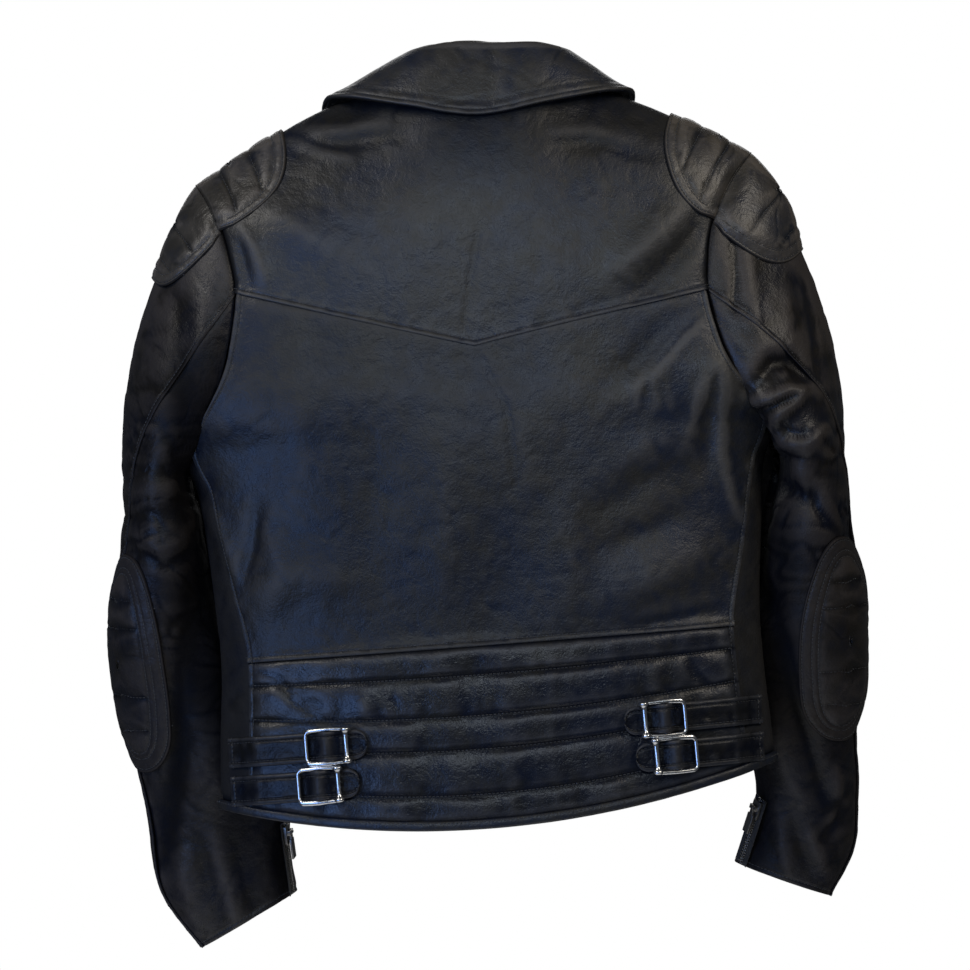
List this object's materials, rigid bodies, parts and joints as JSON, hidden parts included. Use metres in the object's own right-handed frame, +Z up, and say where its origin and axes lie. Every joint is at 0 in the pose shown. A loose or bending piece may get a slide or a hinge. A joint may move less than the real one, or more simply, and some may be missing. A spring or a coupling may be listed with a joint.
{
  "type": "leather jacket",
  "caption": "Black leather biker-cut jacket with quilted shoulder, elbow and waist pads, folded collar, zips and buckled waist straps, hanging.",
  "frame": {"origin": "middle of the back neck seam, where the hanger loop holds the jacket", "axes": "+X to the wearer's left across the shoulders, +Y out of the wearer's back, +Z up along the back"},
  "size_m": [0.6643, 0.2317, 0.7811],
  "materials": {
    "black_leather": "semi-gloss",
    "quilted_leather": "semi-gloss",
    "red_lining": "satin",
    "zip_tape": "matte",
    "zip_metal": "satin",
    "buckle_metal": "polished"
  },
  "bodies": {
    "jacket": {"back_panel": "black_leather", "back_yoke": "black_leather", "body_lining": "red_lining", "buckle_anchor_tabs": "black_leather", "collar_fall": "black_leather", "collar_stand": "black_leather", "cuff_zip_left_chain": "zip_metal", "cuff_zip_left_tape": "zip_tape", "cuff_zip_right_chain": "zip_metal", "cuff_zip_right_tape": "zip_tape", "elbow_pad_left": "quilted_leather", "elbow_pad_right": "quilted_leather", "front_panel_left": "black_leather", "front_panel_right": "black_leather", "front_zip_chain": "zip_metal", "front_zip_tape": "zip_tape", "hanger_loop": "black_leather", "hem_binding": "black_leather", "pocket_zip_left_chain": "zip_metal", "pocket_zip_left_tape": "zip_tape", "pocket_zip_right_chain": "zip_metal", "pocket_zip_right_tape": "zip_tape", "shoulder_pad_left": "quilted_leather", "shoulder_pad_right": "quilted_leather", "side_panel_left": "black_leather", "side_panel_right": "black_leather", "sleeve_lining_left": "red_lining", "sleeve_lining_right": "red_lining", "sleeve_pad_left": "quilted_leather", "sleeve_pad_right": "quilted_leather", "sleeve_top_left": "black_leather", "sleeve_top_right": "black_leather", "sleeve_under_left": "black_leather", "sleeve_under_right": "black_leather", "waist_panel": "quilted_leather", "waist_strap_left_lower": "black_leather", "waist_strap_left_upper": "black_leather", "waist_strap_right_lower": "black_leather", "waist_strap_right_upper": "black_leather"},
    "front_zip_slider": {"front_zip_slider": "zip_metal"},
    "front_zip_pull": {"front_zip_pull": "zip_metal"},
    "cuff_zip_left_slider": {"cuff_zip_left_slider": "zip_metal"},
    "cuff_zip_left_pull": {"cuff_zip_left_pull": "zip_metal"},
    "pocket_zip_left_slider": {"pocket_zip_left_slider": "zip_metal"},
    "pocket_zip_left_pull": {"pocket_zip_left_pull": "zip_metal"},
    "cuff_zip_right_slider": {"cuff_zip_right_slider": "zip_metal"},
    "cuff_zip_right_pull": {"cuff_zip_right_pull": "zip_metal"},
    "pocket_zip_right_slider": {"pocket_zip_right_slider": "zip_metal"},
    "pocket_zip_right_pull": {"pocket_zip_right_pull": "zip_metal"},
    "buckle_left_upper": {"buckle_left_upper": "buckle_metal"},
    "buckle_left_lower": {"buckle_left_lower": "buckle_metal"},
    "buckle_right_upper": {"buckle_right_upper": "buckle_metal"},
    "buckle_right_lower": {"buckle_right_lower": "buckle_metal"}
  },
  "joints": [
    {"name": "front_zip_slide", "type": "slide", "parent": "jacket", "child": "front_zip_slider", "axis": [-0.0549, 0, -0.9985], "range_m": [0, 0.4768]},
    {"name": "front_zip_pull_swing", "type": "hinge", "parent": "front_zip_slider", "child": "front_zip_pull", "pos_m": [0.00601, -0.0635, -0.09899], "axis": [-0.9985, 0, 0.0549], "range_deg": [0, 150]},
    {"name": "cuff_zip_left_slide", "type": "slide", "parent": "jacket", "child": "cuff_zip_left_slider", "axis": [-0.1187, -0.3241, -0.9385], "range_m": [0, 0.0421]},
    {"name": "cuff_zip_left_pull_swing", "type": "hinge", "parent": "cuff_zip_left_slider", "child": "cuff_zip_left_pull", "pos_m": [0.1596, -0.07658, -0.61716], "axis": [0.2605, 0.9019, -0.3444], "range_deg": [0, 150]},
    {"name": "pocket_zip_left_slide", "type": "slide", "parent": "jacket", "child": "pocket_zip_left_slider", "axis": [-0.4338, 0, -0.901], "range_m": [0, 0.0959]},
    {"name": "pocket_zip_left_pull_swing", "type": "hinge", "parent": "pocket_zip_left_slider", "child": "pocket_zip_left_pull", "pos_m": [0.11652, -0.0677, -0.36137], "axis": [-0.901, 0, 0.4338], "range_deg": [0, 150]},
    {"name": "cuff_zip_right_slide", "type": "slide", "parent": "jacket", "child": "cuff_zip_right_slider", "axis": [0.2749, -0.3393, -0.8996], "range_m": [0, 0.0392]},
    {"name": "cuff_zip_right_pull_swing", "type": "hinge", "parent": "cuff_zip_right_slider", "child": "cuff_zip_right_pull", "pos_m": [-0.24044, -0.07386, -0.59578], "axis": [0.4872, -0.7575, 0.4346], "range_deg": [0, 150]},
    {"name": "pocket_zip_right_slide", "type": "slide", "parent": "jacket", "child": "pocket_zip_right_slider", "axis": [0.3362, 0, -0.9418], "range_m": [0, 0.0949]},
    {"name": "pocket_zip_right_pull_swing", "type": "hinge", "parent": "pocket_zip_right_slider", "child": "pocket_zip_right_pull", "pos_m": [-0.13255, -0.0677, -0.34521], "axis": [-0.9418, 0, -0.3362], "range_deg": [0, 150]},
    {"name": "buckle_left_upper_rock", "type": "hinge", "parent": "jacket", "child": "buckle_left_upper", "pos_m": [0.12607, 0.06776, -0.53891], "axis": [-0.0789, 0.0264, -0.9965], "range_deg": [-4, 4]},
    {"name": "buckle_left_lower_rock", "type": "hinge", "parent": "jacket", "child": "buckle_left_lower", "pos_m": [0.13253, 0.06686, -0.57199], "axis": [-0.0808, 0.0279, -0.9963], "range_deg": [-4, 4]},
    {"name": "buckle_right_upper_rock", "type": "hinge", "parent": "jacket", "child": "buckle_right_upper", "pos_m": [-0.16115, 0.06776, -0.51488], "axis": [0.0869, -0.0162, 0.9961], "range_deg": [-4, 4]},
    {"name": "buckle_right_lower_rock", "type": "hinge", "parent": "jacket", "child": "buckle_right_lower", "pos_m": [-0.17111, 0.06686, -0.54579], "axis": [0.0898, -0.0157, 0.9958], "range_deg": [-4, 4]}
  ]
}
